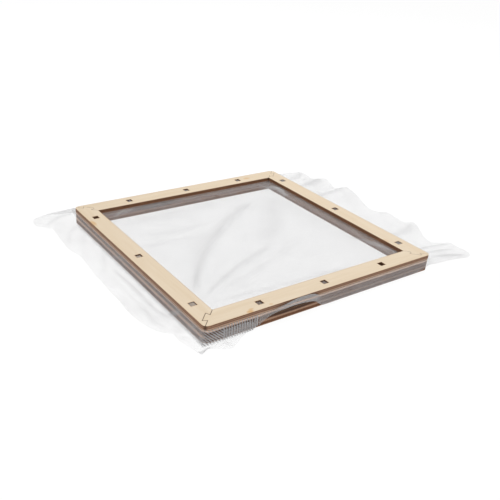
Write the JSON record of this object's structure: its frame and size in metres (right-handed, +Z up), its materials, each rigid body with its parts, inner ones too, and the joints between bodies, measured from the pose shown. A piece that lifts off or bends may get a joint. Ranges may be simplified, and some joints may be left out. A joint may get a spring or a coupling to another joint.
{
  "type": "screen printing frame",
  "caption": "Square screen printing frame of layered plywood, with sheer mesh clamped under a lift-off ring that presses over square pegs.",
  "frame": {"origin": "middle of the frame, on the surface that the frame rests on", "axes": "+X to the right along the front rail, +Y to the back, +Z up through the clamp ring's face"},
  "size_m": [0.4, 0.352, 0.0187],
  "materials": {
    "ring_plywood": "bare sanded face, laser-burnt edges",
    "base_plywood": "bare sanded face, laser-burnt edges",
    "peg_wood": "laser-burnt",
    "mesh": "sheer plain weave"
  },
  "bodies": {
    "lower_frame": {"base_rail_front": "base_plywood", "base_rail_right": "base_plywood", "base_rail_back": "base_plywood", "base_rail_left": "base_plywood", "middle_rail_front": "base_plywood", "middle_rail_right": "base_plywood", "middle_rail_back": "base_plywood", "middle_rail_left": "base_plywood", "upper_rail_front": "base_plywood", "upper_rail_right": "base_plywood", "upper_rail_back": "base_plywood", "upper_rail_left": "base_plywood", "peg_front_left": "peg_wood", "peg_front_middle": "peg_wood", "peg_front_right": "peg_wood", "peg_right_front": "peg_wood", "peg_right_middle": "peg_wood", "peg_right_back": "peg_wood", "peg_back_right": "peg_wood", "peg_back_middle": "peg_wood", "peg_back_left": "peg_wood", "peg_left_back": "peg_wood", "peg_left_middle": "peg_wood", "peg_left_front": "peg_wood", "mesh_panel": "mesh", "mesh_overhang": "mesh"},
    "clamp_ring": {"ring_rail_front": "ring_plywood", "ring_rail_right": "ring_plywood", "ring_rail_back": "ring_plywood", "ring_rail_left": "ring_plywood"}
  },
  "joints": [
    {"name": "ring_lift", "type": "slide", "parent": "lower_frame", "child": "clamp_ring", "axis": [0, 0, 1], "range_m": [0, 0.03]}
  ]
}
